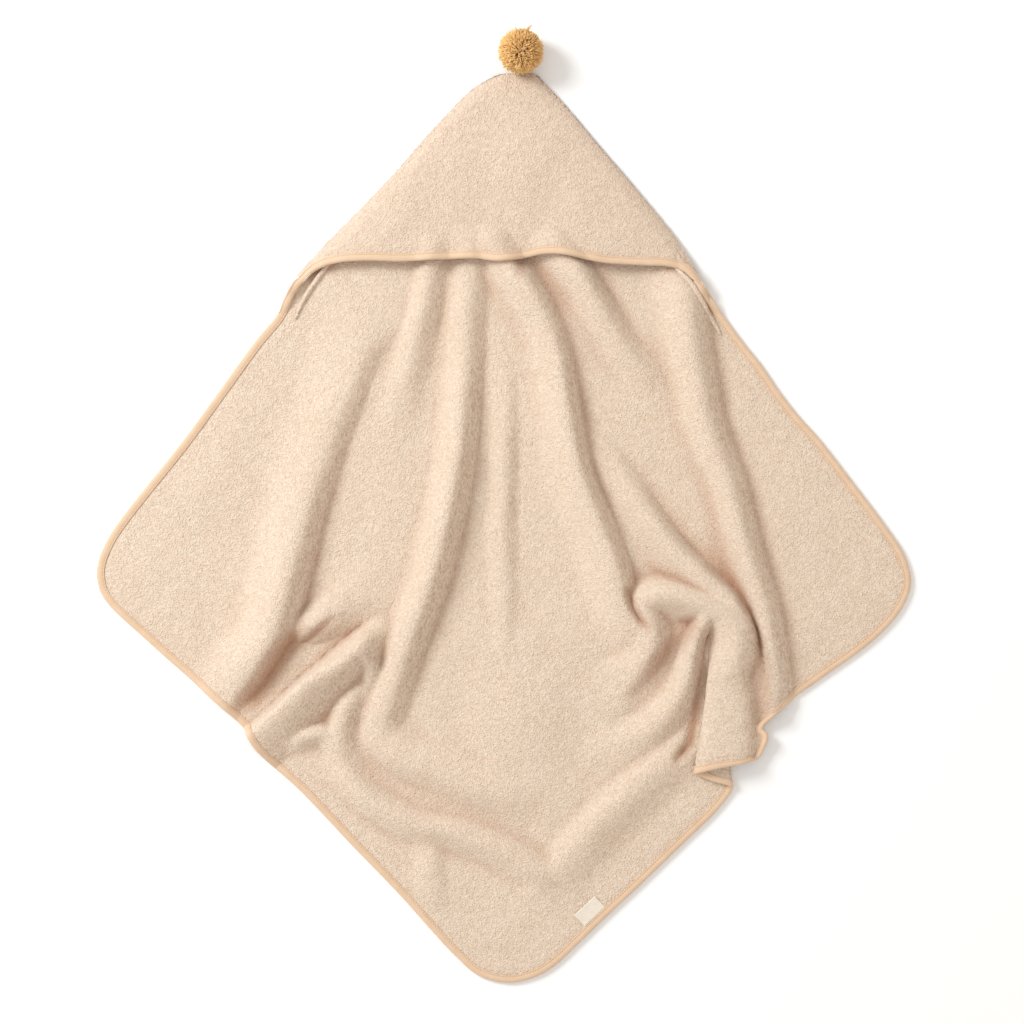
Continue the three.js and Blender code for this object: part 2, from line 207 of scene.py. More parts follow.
# A tuck that lies over to the left: the fold line before it is laid over, how far it moves,
# and its profile as (distance across, share of the move, height)
TUCK = [(279, -315, 71), (275, -275, 69), (270, -233, 56), (258, -189, 36), (242, -156, 15),
        (222, -134, 0)]
TUCK_WAY = (-0.955, -0.297)
TUCK_PROFILE = [
    (-34, 0.0, 0.0), (-28, 0.015, 1.2), (-24, 0.07, 4.2), (-20, 0.2, 6.0), (-14, 0.47, 7.0),
    (-8, 0.74, 7.6), (-4, 0.9, 8.2), (0, 1.0, 11.0), (3, 0.985, 14.2), (8, 0.93, 16.4),
    (16, 0.74, 17.2), (21, 0.57, 16.4), (24, 0.46, 13.0), (26.5, 0.38, 6.5), (29, 0.3, 6.5),
    (31.5, 0.23, 12.0), (35, 0.13, 11.5), (40, 0.05, 4.0), (46, 0.0, 0.0)]
TUCK_GROWTH = 40         # the tuck is at its full height where it moves this far
UNION_POWER = 3.6        # how folds merge where they meet
UNDULATION = 1.6         # broad unevenness of the cloth
LUMPS = 0.30             # unevenness from loop to loop

HOOD_TOP = 478.0         # where the hood's tip lies
HOOD_DEPTH = 205.0       # from the tip to the front edge
HOOD_RISE = 12.0         # how far the hood's front layer stands off the body
HOOD_FOLLOW = 0.55       # how much of the body's folds shows through the hood
HOOD_SHADE = 0.17        # painted shade over the whole hood layer, a little darker and warmer
SEAM_ROUND = 16.0        # radius of the turned seams
SEAM_HEIGHT = 2.3        # of the hood's middle surface where it meets the body
SEAM_CLEAR = 6.0         # from the seams to the edge of the body behind the hood
TAPE_PRESSES = (8.5, 13) # distances in from the edge where the pressed cloth thickens
TAPE_CLEAR = 1.6         # from the tape's outer edge to the cloth inside it


# ---------------------------------------------------------------- curves and fields

def smoothstep(low, high, value):
    t = np.clip((value - low) / (high - low), 0, 1)
    return t * t * (3 - 2 * t)


def smooth_curve(points, samples):
    """Evenly spaced points on a centripetal Catmull-Rom curve through the given ones."""
    p = np.asarray(points, float)
    p = np.vstack([2 * p[0] - p[1], p, 2 * p[-1] - p[-2]])
    pieces = []
    for a, b, c, d in zip(p[:-3], p[1:-2], p[2:-1], p[3:]):
        t0 = 0.0
        t1 = t0 + np.linalg.norm(b - a) ** 0.5
        t2 = t1 + np.linalg.norm(c - b) ** 0.5
        t3 = t2 + np.linalg.norm(d - c) ** 0.5
        t = np.linspace(t1, t2, 16, endpoint=False)[:, None]
        ab = (t1 - t) / (t1 - t0) * a + (t - t0) / (t1 - t0) * b
        bc = (t2 - t) / (t2 - t1) * b + (t - t1) / (t2 - t1) * c
        cd = (t3 - t) / (t3 - t2) * c + (t - t2) / (t3 - t2) * d
        abc = (t2 - t) / (t2 - t0) * ab + (t - t0) / (t2 - t0) * bc
        bcd = (t3 - t) / (t3 - t1) * bc + (t - t1) / (t3 - t1) * cd
        pieces.append((t2 - t) / (t2 - t1) * abc + (t - t1) / (t2 - t1) * bcd)
    fine = np.vstack([*pieces, p[-2]])
    return resample(fine, samples)


def lengths_along(line):
    """The length of the line up to each of its points."""
    steps = np.linalg.norm(np.diff(line, axis=0), axis=1)
    return np.concatenate([[0], np.cumsum(steps)])


def resample(line, samples):
    """Evenly spaced points on the line."""
    along = lengths_along(line)
    at = np.linspace(0, along[-1], samples)
    return np.column_stack([np.interp(at, along, column) for column in line.T])


def respaced(line, shares, samples=2001):
    """Points on the line at the given shares of its length."""
    even = resample(line, samples)
    return np.column_stack([np.interp(shares, np.linspace(0, 1, samples), c) for c in even.T])


def unit(vector):
    return vector / np.linalg.norm(vector)


def leftward(ways):
    """Unit vectors in the plane, to the left of the given ways."""
    ways = ways / np.linalg.norm(ways, axis=1)[:, None]
    return np.column_stack([-ways[:, 1], ways[:, 0]])


def resample_dense(line, samples, centre, reach, gain):
    """Like resample, with the points closer together around one share of the way along."""
    share = np.linspace(0, 1, 2001)
    density = 1 + (gain - 1) * np.exp(-((share - centre) / reach) ** 2)
    along = np.concatenate([[0], np.cumsum(0.5 * (density[1:] + density[:-1]))])
    shares = np.interp(np.linspace(0, along[-1], samples), along, share)
    return respaced(line, shares, 4001)


def nearest_on_line(places, line):
    """For each place: distance to the line, share of the way along it, signed side and foot."""
    best = np.full(len(places), np.inf)
    along = np.zeros(len(places))
    side = np.zeros(len(places))
    for i in range(len(line) - 1):
        start, step = line[i, :2], line[i + 1, :2] - line[i, :2]
        length = np.hypot(*step)
        offset = places - start
        share = np.clip(offset @ step / length ** 2, 0, 1)
        away = offset - share[:, None] * step
        distance = np.hypot(away[:, 0], away[:, 1])
        nearer = distance < best
        best[nearer] = distance[nearer]
        along[nearer] = ((i + share) / (len(line) - 1))[nearer]
        cross = (step[0] * offset[:, 1] - step[1] * offset[:, 0]) / length
        side[nearer] = np.clip(cross / np.maximum(distance, 1e-6), -1, 1)[nearer]
    return best, along, side


def value_noise(places, cell, seed):
    """Smooth noise from -1 to 1 over the plane."""
    lattice = np.random.default_rng(seed).uniform(-1, 1, (257, 257))
    p = places / cell + 1000.5
    whole = np.floor(p).astype(int)
    f = p - whole
    f = f * f * (3 - 2 * f)
    x, y = whole[:, 0] % 256, whole[:, 1] % 256
    low = lattice[x, y] * (1 - f[:, 0]) + lattice[x + 1, y] * f[:, 0]
    high = lattice[x, y + 1] * (1 - f[:, 0]) + lattice[x + 1, y + 1] * f[:, 0]
    return low * (1 - f[:, 1]) + high * f[:, 1]


tuck_line = smooth_curve(TUCK, 49)
tuck_profile = smooth_curve(TUCK_PROFILE, 160)


def tuck_field(places):
    """Height and sideways move of the cloth at the laid-over tuck."""
    distance, along, side = nearest_on_line(places, tuck_line)
    move = np.interp(along, np.linspace(0, 1, len(tuck_line)), tuck_line[:, 2])
    across = -distance * np.sign(side)
    off_end = 1 - np.clip(np.abs(side), 0, 1)
    share = np.interp(across, tuck_profile[:, 0], tuck_profile[:, 1], left=0, right=0)
    height = np.interp(across, tuck_profile[:, 0], tuck_profile[:, 2], left=0, right=0)
    whole = 1 - smoothstep(0.3, 0.9, off_end)
    fade = whole * np.clip(move / TUCK_GROWTH, 0, 1) ** 0.7
    return height * fade, (move * share * whole)[:, None] * TUCK_WAY


def lumps(places):
    """Small unevenness of the pile's height."""
    return LUMPS * (value_noise(places, 4.5, 6) + 0.8 * value_noise(places, 9.5, 7))


fold_lines = {name: smooth_curve(f["crest"], CREST_SEGMENTS + 1) for name, f in FOLDS.items()}


def fold_field(places):
    """Height of the folds over the floor, and the sideways lean of the overhanging ones."""
    tuck_height, lean = tuck_field(places)
    total = tuck_height ** UNION_POWER
    for name, fold in FOLDS.items():
        line = fold_lines[name]
        reach = max(*fold["right"], *fold["left"])
        low, high = line[:, :2].min(axis=0) - reach, line[:, :2].max(axis=0) + reach
        near = np.all((places > low) & (places < high), axis=1)
        distance, along, side = nearest_on_line(places[near], line)
        height = np.interp(along, np.linspace(0, 1, len(line)), line[:, 2])
        right = fold["right"][0] + (fold["right"][1] - fold["right"][0]) * along
        left = fold["left"][0] + (fold["left"][1] - fold["left"][0]) * along
        width = right + (left - right) * (0.5 + 0.5 * side)
        crisp = fold["crisp"][0] + (fold["crisp"][1] - fold["crisp"][0]) * (0.5 + 0.5 * side)
        share = np.clip(distance / width, 0, 1)
        soft = 0.5 + 0.5 * np.cos(np.pi * share)
        bell = soft + crisp * ((1 - share ** 2) ** 0.8 - soft)
        rise = height * bell
        total[near] += rise ** UNION_POWER
        if "lean" in fold:
            at = np.clip((along * CREST_SEGMENTS).round().astype(int), 0, CREST_SEGMENTS)
            over = bell ** 1.5 * (1 - smoothstep(0.45, 0.75, along))
            sideways = leftward(np.gradient(line[:, :2], axis=0))[at]
            lean[near] += fold["lean"] * over[:, None] * sideways
    return total ** (1 / UNION_POWER), lean


hollow_lines = [(smooth_curve(points, 25), reach, shade) for points, reach, shade in HOLLOWS]


def hollow_field(places):
    """Depth of the creases and pockets pressed into the folds, and the shade in them."""
    depth = np.zeros(len(places))
    shade = np.zeros(len(places))
    for line, reach, dark in hollow_lines:
        spread = 1.5 * reach
        low, high = line[:, :2].min(axis=0) - spread, line[:, :2].max(axis=0) + spread
        near = np.all((places > low) & (places < high), axis=1)
        distance, along, _ = nearest_on_line(places[near], line)
        here = np.interp(along, np.linspace(0, 1, len(line)), line[:, 2])
        bell = (1 - np.clip(distance / reach, 0, 1) ** 1.4) ** 1.6
        depth[near] = np.maximum(depth[near], here * bell)
        wide = (1 - np.clip(distance / spread, 0, 1) ** 1.6) ** 2
        full = np.clip(here / (0.7 * line[:, 2].max()), 0, 1)
        shade[near] = np.maximum(shade[near], dark * wide * full)
    return depth, shade


def coons(top, bottom, left, right):
    """Grid of places between four sides; top and bottom run left to right, the others down."""
    u = np.linspace(0, 1, len(top))[None, :, None]
    v = np.linspace(0, 1, len(left))[:, None, None]
    across = (1 - u) * left[:, None] + u * right[:, None]
    down = (1 - v) * top[None] + v * bottom[None]
    corners = ((1 - u) * (1 - v) * top[0] + u * (1 - v) * top[-1]
               + (1 - u) * v * bottom[0] + u * v * bottom[-1])
    return across + down - corners


def inset(line, distance):
    """The line moved to its left by the distance."""
    return line + distance * leftward(np.gradient(line, axis=0))


def gap_to(places, points):
    """Distance from each place to the nearest of the points."""
    batch = 4000
    return np.concatenate([
        np.linalg.norm(places[start:start + batch, None] - points[None], axis=2).min(axis=1)
        for start in range(0, len(places), batch)])


# ---------------------------------------------------------------- the body's cloth

BOUND_EDGE = EDGE_TO_LEFT_CORNER + EDGE_TO_BOTTOM + EDGE_TO_RIGHT_CORNER + EDGE_TO_HOOD
full_edge = smooth_curve(BOUND_EDGE, 900)
seam_left = smooth_curve([TIP, *SEAM_LEFT], 180)
seam_right = smooth_curve([*SEAM_RIGHT, TIP], 180)
outline = np.vstack([seam_left[:-1], full_edge, seam_right[1:-1]])


def edge_distance(places):
    """Distance to the body's outline, for the places that are near enough for it to matter."""
    best = np.full(len(places), np.inf)
    for start in range(0, len(outline), 60):
        part = outline[start:start + 61]
        span = np.min(np.abs(places[:, None, 0] - part[None, ::12, 0])
                      + np.abs(places[:, None, 1] - part[None, ::12, 1]), axis=1)
        near = span < 90
        if near.any():
            gap = np.linalg.norm(places[near, None] - part[None], axis=2).min(axis=1)
            best[near] = np.minimum(best[near], gap)
    return best


def body_surface(places):
    """Middle of the cloth's thickness, in the row frame in millimetres."""
    height, lean = fold_field(places)
    height = np.maximum(height - hollow_field(places)[0], 0)
    calm = 1 - 0.6 * smoothstep(300, 340, places[:, 1])
    broad = UNDULATION * (value_noise(places, 95, 3) + 0.6 * value_noise(places, 48, 4)
                          + 0.28 * value_noise(places, 21, 5))
    edge = smoothstep(4, 60, edge_distance(places))
    lift = np.maximum(0, broad + 1.2) * edge * calm
    z = FLOOR_GAP + TAPE_HALF + 0.1 + height + lift
    return np.column_stack([places + lean, z])


def grid_normals(grid):
    """Unit normals of a grid of points, facing up."""
    across = np.gradient(grid, axis=1)
    down = np.gradient(grid, axis=0)
    normal = np.cross(across, down)
    normal /= np.linalg.norm(normal, axis=2)[:, :, None]
    return normal if normal[:, :, 2].mean() > 0 else -normal


def box_blur(grid, reach, times):
    """The grid smoothed by a running mean, repeated."""
    for _ in range(times):
        for axis in (0, 1):
            padded = np.concatenate([
                np.repeat(np.take(grid, [0], axis), reach, axis), grid,
                np.repeat(np.take(grid, [-1], axis), reach, axis)], axis)
            sums = np.cumsum(padded, axis=axis)
            zero = np.zeros_like(np.take(sums, [0], axis))
            sums = np.concatenate([zero, sums], axis)
            width = 2 * reach + 1
            size = grid.shape[axis]
            grid = (np.take(sums, range(width, width + size), axis)
                    - np.take(sums, range(size), axis)) / width
    return grid


def store_hollows(piece, middle, shade):
    """How deep each place lies in a crease or pocket, stored for the material's painted shade
    there.
    """
    z = middle[:, :, 2]
    fine = box_blur(z, 1, 1)
    creases = (box_blur(z, 3, 2) - fine) / 4.0
    pockets = (box_blur(z, 7, 2) - fine - 4.5) / 6.0
    own = np.maximum(creases * 0.55, pockets * 0.8)
    crease_shade = np.clip(np.maximum(own, shade), 0, 1).ravel()
    attribute = piece.data.attributes.new("crease_shade", "FLOAT", "POINT")
    attribute.data.foreach_set("value", np.concatenate([crease_shade, crease_shade]).astype(np.float32))


def add_to_scene(name, data):
    thing = bpy.data.objects.new(name, data)
    bpy.context.scene.collection.objects.link(thing)
    return thing


def new_piece(name, vertices, faces, material):
    """A smooth-shaded mesh from points in millimetres, with its faces turned outward."""
    mesh = bpy.data.meshes.new(name)
    mesh.from_pydata([tuple(v) for v in np.asarray(vertices) * MM], [], faces)
    mesh.validate()
    mesh.update()
    mesh.polygons.foreach_set("use_smooth", [True] * len(mesh.polygons))
    mesh.materials.append(material)
    work = bmesh.new()
    work.from_mesh(mesh)
    bmesh.ops.recalc_face_normals(work, faces=work.faces)
    work.to_mesh(mesh)
    work.free()
    return add_to_scene(name, mesh)


def ring_quads(count, size):
    """Faces between rings of points, each ring closed on itself, and the rings' indices."""
    index = np.arange(count * size).reshape(count, size)
    after = np.roll(index, -1, axis=1)
    quads = np.stack([index[:-1], after[:-1], after[1:], index[1:]], axis=-1).reshape(-1, 4)
    return quads.tolist(), index


def tube_piece(name, rings, material):
    """A closed tube through rings of points, with a flat cap at either end."""
    quads, index = ring_quads(*rings.shape[:2])
    caps = [index[0][::-1].tolist(), index[-1].tolist()]
    return new_piece(name, rings.reshape(-1, 3), quads + caps, material)


def shell_from_grid(name, middle, half, material, shade=0.0):
    """A closed sheet of cloth from its middle surface and half its thickness at each place."""
    normal = grid_normals(middle)
    rows, columns = middle.shape[:2]
    top = middle + normal * half[:, :, None]
    bottom = middle - normal * half[:, :, None]
    bottom[:, :, 2] = np.maximum(bottom[:, :, 2], FLOOR_GAP)
    vertices = np.vstack([top.reshape(-1, 3), bottom.reshape(-1, 3)])
    index = np.arange(rows * columns).reshape(rows, columns)
    quads = np.stack([index[:-1, :-1], index[:-1, 1:], index[1:, 1:], index[1:, :-1]], axis=-1)
    quads = quads.reshape(-1, 4)
    below = rows * columns
    rim = np.concatenate([index[0, :], index[1:, -1], index[-1, -2::-1], index[-2:0:-1, 0]])
    after = np.roll(rim, -1)
    sides = np.column_stack([rim, rim + below, after + below, after])
    faces = np.vstack([quads[:, ::-1], quads + below, sides]).tolist()
    piece = new_piece(name, vertices, faces, material)
    store_hollows(piece, middle, shade)
    return piece


def nearest_index(line, at):
    """The index on the line nearest to a place."""
    return int(np.argmin(np.linalg.norm(line - np.asarray(at, float), axis=1)))


def body_grid():
    """Places all over the body, between the four sides of its outline."""
    ways = np.roll(outline, -1, axis=0) - np.roll(outline, 1, axis=0)
    under_hood = smoothstep(246, 262, outline[:, 1])[:, None]
    depth = TAPE_CLEAR + (SEAM_CLEAR - TAPE_CLEAR) * under_hood
    inner = outline + depth * leftward(ways)
    corner_left = nearest_index(inner, (-447, -72))
    corner_bottom = nearest_index(inner, (7, -520))
    corner_right = nearest_index(inner, (447, -80))
    lines = SHEET_CELLS + 1
    side_a = resample_dense(inner[:corner_left + 1], lines, 0.42, 0.09, 2.4)
    side_b = resample_dense(inner[corner_left:corner_bottom + 1], lines, 0.37, 0.1, 1.5)
    side_c = resample_dense(inner[corner_bottom:corner_right + 1], lines, 0.58, 0.09, 2.4)
    closing = np.vstack([inner[corner_right:], inner[:1]])
    side_d = resample_dense(closing, lines, 0.63, 0.1, 1.5)
    return coons(side_a, side_c[::-1], side_d[::-1], side_b)


def taped_half(gap):
    """Where the cloth lies under the tape, and half its thickness."""
    taped = 1 - smoothstep(*TAPE_PRESSES, gap)
    return taped, 0.5 * (THICK + (TAPED_THICK - THICK) * taped)


def build_body(material):
    plan = body_grid()
    places = plan.reshape(-1, 2)
    middle = body_surface(places).reshape(*plan.shape[:2], 3)
    gap = edge_distance(places).reshape(plan.shape[:2])
    taped, half = taped_half(gap)
    half += lumps(places).reshape(half.shape) * (1 - taped)
    shade = hollow_field(places)[1].reshape(half.shape)
    return shell_from_grid("body_terry", middle, half, material, shade)


# ---------------------------------------------------------------- the hood's front layer

# Ends of the hood's tape, which come out of the body's tape: y where they rise and join the hood
TAIL_RISES = (209, 229)
TAIL_JOINS_HOOD = (231, 248)
TAIL_SUNK = 0.9
TAIL_LIFT = 5.4

hood_right = seam_right[::-1]
hood_seams = np.vstack([seam_left, hood_right])
hood_front = smooth_curve([SEAM_LEFT[-1], *HOOD_FRONT, SEAM_RIGHT[0]], 240)
hood_tape_line = smooth_curve([*HOOD_TAPE_LEFT, *HOOD_FRONT, *HOOD_TAPE_RIGHT], 260)


def hood_surface(places):
    """Middle of the hood's front layer, which rounds over to the body at its seams."""
    height, _ = fold_field(places)
    gap = gap_to(places, hood_seams)
    turned = np.sin(0.5 * np.pi * np.clip(gap / SEAM_ROUND, 0, 1)) ** 0.75
    down = np.clip((HOOD_TOP - places[:, 1]) / HOOD_DEPTH, 0, 1)
    dome = HOOD_RISE * down ** 0.7 * (1 - np.exp(-gap / 26))
    broad = value_noise(places, 70, 8) + 0.5 * value_noise(places, 34, 9)
    soft = 2.2 * broad * smoothstep(8, 50, gap)
    z = 2 * THICK + dome + HOOD_FOLLOW * height * smoothstep(0, 40, gap) + soft
    z = SEAM_HEIGHT + (z - SEAM_HEIGHT) * turned
    over_body = body_surface(places)[:, 2] + (THICK + 0.6) * smoothstep(1, 10, gap)
    return np.column_stack([places, np.maximum(z, over_body)])


def hood_tape_surface(places):
    """The hood's surface, carried on over the tape of the body at both corners."""
    surface = hood_surface(places)
    rise = smoothstep(*TAIL_RISES, places[:, 1])
    tails = body_surface(places)[:, 2] - TAIL_SUNK + TAIL_LIFT * rise
    hood_share = smoothstep(*TAIL_JOINS_HOOD, places[:, 1])
    surface[:, 2] = tails + (np.maximum(surface[:, 2], tails) - tails) * hood_share
    return surface


def build_hood(material):
    rows, columns = 110, 190
    cut = 16                 # points on either side of the tip that make the grid's top
    across = np.linspace(0, 1, columns)
    across = 0.3 * across + 0.7 * (0.5 - 0.5 * np.cos(np.pi * across))
    down = np.linspace(0, 1, rows) ** 1.3
    top = respaced(np.vstack([seam_left[cut::-1], hood_right[1:cut + 1]]), across)
    front = respaced(hood_front, across)
    left = respaced(seam_left[cut:], down)
    right = respaced(hood_right[cut:], down)
    plan = coons(top, front, left, right)
    places = plan.reshape(-1, 2)
    middle = hood_surface(places).reshape(rows, columns, 3)
    taped, half = taped_half(gap_to(places, hood_front[::3]).reshape(rows, columns))
    seam_gap = gap_to(places, hood_seams[::4]).reshape(rows, columns)
    half += lumps(places).reshape(half.shape) * (1 - taped) * smoothstep(2, 12, seam_gap)
    half *= 0.6 + 0.4 * smoothstep(0, 6, seam_gap)
    return shell_from_grid("hood_terry", middle, half, material, HOOD_SHADE)


# ---------------------------------------------------------------- edge tape and its stitching

# Section of the folded tape: how far in from the edge, and how far above the cloth's middle
TAPE_OUTER = [
    (8.2, 1.9), (8.1, 2.35), (7.6, 2.5), (7.1, 2.3), (6.5, 2.15), (5.9, 2.35), (5.0, 2.62),
    (3.6, 2.7), (1.8, 2.55), (0.6, 2.0), (0.0, 1.1), (-0.2, 0.0)]
TAPE_INNER = [(8.1, 1.5), (4.5, 1.55), (2.0, 1.5), (1.2, 0.8), (1.1, 0.0)]
STITCH_INSET = 6.5
STITCH_LENGTH = 2.6
STITCH_STEP = 3.3
STITCH_RADIUS = 0.32
STITCH_LEVEL = 2.25      # above the cloth's middle
LOOSE_ENDS = 12          # points at either end of the hood's tape that have no stitches


def tape_rails(line, surface, offsets):
    """The cloth's middle at each true distance in from the line, and its normals."""
    probes = np.arange(0, 16.1, 0.8)
    points = np.stack([surface(inset(line, probe)) for probe in probes], axis=1)
    steps = np.linalg.norm(np.diff(points, axis=1), axis=2)
    reached = np.concatenate([np.zeros((len(line), 1)), np.cumsum(steps, axis=1)], axis=1)
    rails = np.empty((len(line), len(offsets), 3))
    for i in range(len(line)):
        for axis in range(3):
            rails[i, :, axis] = np.interp(offsets, reached[i], points[i, :, axis])
    along = np.gradient(rails, axis=0)
    inward = np.gradient(rails, axis=1)
    normal = np.cross(inward, along)
    normal /= np.linalg.norm(normal, axis=2)[:, :, None]
    normal *= np.sign(normal[:, :, 2].mean())
    return rails, normal


def rail_point(rails, normals, offsets, across, up):
    """Points at one place in the section, all along the tape."""
    position = np.interp(across, offsets, np.arange(len(offsets)))
    low = min(int(position), len(offsets) - 2)
    share = position - low
    point = (1 - share) * rails[:, low] + share * rails[:, low + 1]
    normal = (1 - share) * normals[:, low] + share * normals[:, low + 1]
    if across < offsets[0]:
        point = point + (rails[:, 0] - rails[:, 1]) * (offsets[0] - across) / (
            offsets[1] - offsets[0])
    return point + normal * up


def build_tape(name, line, surface, material):
    offsets = np.array([0.4, 2.5, 4.5, 6.5, 8.2])
    rails, normals = tape_rails(line, surface, offsets)
    section = (TAPE_OUTER + [(a, -u) for a, u in TAPE_OUTER[-2::-1]]
               + [(a, -u) for a, u in TAPE_INNER[:-1]] + TAPE_INNER[::-1])
    rings = np.stack([rail_point(rails, normals, offsets, a, u) for a, u in section], axis=1)
    rings[:, :, 2] = np.maximum(rings[:, :, 2], 0.05)
    return tube_piece(name, rings, material)


def add_tube_faces(faces, first, rings, sides):
    """Faces of a closed tube whose rings of points start at the given one."""
    for a in range(first, first + (rings - 1) * sides, sides):
        for s in range(sides):
            b = a + (s + 1) % sides
            faces.append([a + s, b, b + sides, a + s + sides])
    faces.append([first + s for s in range(sides)][::-1])
    faces.append([first + (rings - 1) * sides + s for s in range(sides)])


def stitch_row(name, points, normals, material, radius=STITCH_RADIUS, length=STITCH_LENGTH,
               step=STITCH_STEP):
    """A row of separate stitches along a line on the cloth."""
    along = lengths_along(points)
    starts = np.arange(step / 2, along[-1] - length, step)
    sides, rings = 6, 5
    turn = np.linspace(0, 2 * np.pi, sides, endpoint=False)
    vertices, faces = [], []
    for start in starts:
        first = len(vertices)
        for r in range(rings):
            share = r / (rings - 1)
            at = start + share * length
            centre, ahead, up = (
                np.array([np.interp(place, along, column) for column in line.T])
                for place, line in ((at, points), (at + 0.5, points), (at, normals)))
            beside = unit(np.cross(up, unit(ahead - centre)))
            arch = math.sin(math.pi * share)
            thick = radius * (0.35 + 0.65 * arch ** 0.5)
            for angle in turn:
                vertices.append(centre + up * (radius * (arch - 0.45) + thick * math.sin(angle))
                                + beside * thick * math.cos(angle))
        add_tube_faces(faces, first, rings, sides)
    return new_piece(name, vertices, faces, material)


def tape_stitches(name, line, surface, material):
    offsets = np.array([STITCH_INSET - 2, STITCH_INSET, STITCH_INSET + 2])
    rails, normals = tape_rails(line, surface, offsets)
    return stitch_row(name, rails[:, 1] + normals[:, 1] * STITCH_LEVEL, normals[:, 1], material)


# ---------------------------------------------------------------- seam allowances

ALLOWANCE_ROUTES = {
    "left": [(-178, 288), (-191, 272), (-203, 255), (-214, 239), (-222, 225), (-229, 208)],
    "right": [(181, 270), (192, 260), (202, 250), (210, 239), (217, 227), (226, 211),
              (238, 191)]}


def build_allowance(name, route, material):
    """The turned seam edge that shows inside the hood's corner: a soft rolled strip."""
    line = smooth_curve(route, 60)
    base = body_surface(line)
    beside = np.column_stack([leftward(np.gradient(line, axis=0)), np.zeros(len(line))])
    ends = np.sin(np.pi * np.clip(np.linspace(0.02, 0.98, len(line)), 0, 1)) ** 0.4
    turn = np.linspace(0, 2 * np.pi, 12, endpoint=False)
    rings = np.stack([
        base + beside * (3.0 * np.cos(t) * ends)[:, None]
        + np.array([0, 0, 1]) * (THICK / 2 + 0.8 + 2.9 * np.sin(t) * ends)[:, None]
        for t in turn], axis=1)
    return tube_piece(name, rings, material)


# ---------------------------------------------------------------- pompom

def box_mm(node):
    low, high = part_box(node)
    return np.array(low) / MM, np.array(high) / MM


def middle_mm(node):
    low, high = box_mm(node)
    return (low + high) / 2


STRANDS = 3900
POMPOM_SHIFT = np.array([-1.5, -1.0, 0.0])     # of the yarn's middle from the ball's
STRAND_SIDES = 5
STRAND_RINGS = 6


def add_strand(vertices, faces, path, radii):
    """A thin tapering tube along the path."""
    first = len(vertices)
    way = unit(path[-1] - path[0])
    beside = unit(np.cross(way, [0.31, 0.22, 0.92]))
    over = np.cross(way, beside)
    turn = np.linspace(0, 2 * np.pi, STRAND_SIDES, endpoint=False)
    for point, radius in zip(path, radii):
        for angle in turn:
            vertices.append(point + radius * (math.cos(angle) * beside + math.sin(angle) * over))
    add_tube_faces(faces, first, len(path), STRAND_SIDES)


def even_directions(count):
    """Directions spread evenly over a sphere."""
    i = np.arange(count) + 0.5
    z = 1 - 2 * i / count
    around = np.pi * (1 + 5 ** 0.5) * i
    flat = np.sqrt(1 - z * z)
    return np.column_stack([z, flat * np.cos(around), flat * np.sin(around)])


def build_pompom(material):
    low, high = box_mm("pompom_ball")
    centre = (low + high) / 2 + POMPOM_SHIFT
    radius = (high - low).max() / 2
    vertices, faces = [], []
    for direction in even_directions(STRANDS):
        tip = unit(direction + rng.normal(size=3) * 0.16)
        reach = radius * (1.03 + 0.05 * rng.normal())
        bend = rng.normal(size=3) * 1.6
        share = np.linspace(0.3, 1, STRAND_RINGS)[:, None]
        root = direction * 0.35 + tip * 0.65
        path = centre + reach * share * ((1 - share) * root + share * tip)
        path = path + bend * np.sin(np.pi * share) * share
        path[:, 2] = np.maximum(path[:, 2], 0.5)
        radii = np.array([0.5, 0.6, 0.72, 0.8, 0.78, 0.4]) * (0.8 + 0.35 * rng.random())
        add_strand(vertices, faces, path, radii)
    return new_piece("pompom_yarn", vertices, faces, material)


def build_tuft(material):
    centre = middle_mm("pompom_ball") + POMPOM_SHIFT
    way = unit(middle_mm("pompom_tuft") + POMPOM_SHIFT - centre)
    vertices, faces = [], []
    for _ in range(14):
        spread = rng.normal(size=3) * 0.07
        root = centre + (way + spread) * 16
        tip = centre + (way + spread * 0.5) * (28.5 + 1.5 * rng.normal()) + np.array([3.5, -1, 0])
        share = np.linspace(0, 1, STRAND_RINGS)[:, None]
        path = root + (tip - root) * share + rng.normal(size=3) * 0.6 * np.sin(np.pi * share)
        path = path - np.array([2.2, 0, 0]) * np.sin(np.pi * share)
        add_strand(vertices, faces, path, np.array([0.5, 0.55, 0.6, 0.6, 0.5, 0.25]))
    return new_piece("pompom_long_ends", vertices, faces, material)


def build_core(material):
    """The wound thread at the pompom's middle and the strands of it that reach the knot."""
    centre = middle_mm("pompom_ball")
    knot = middle_mm("pompom_tie_knot")
    vertices, faces = [], []
    way = unit(knot - centre)
    beside = unit(np.cross(way, [0, 0, 1.0]))
    over = np.cross(way, beside)
    for turn in range(4):
        angle = np.linspace(0, 2 * np.pi, 24)[:, None]
        path = centre + way * (turn - 1.5) + 2.4 * (np.cos(angle) * beside + np.sin(angle) * over)
        for part in (path[:13], path[12:]):
            add_strand(vertices, faces, part, np.full(len(part), 0.45))
    for side in (-1, 0, 1):
        share = np.linspace(0, 1, 10)[:, None]
        end = knot - way * 1.6
        path = centre + (end - centre) * share + beside * side * 0.9 * (1 - 0.6 * share)
        add_strand(vertices, faces, path, np.full(10, 0.5))
    return new_piece("pompom_core_yarn", vertices, faces, material)


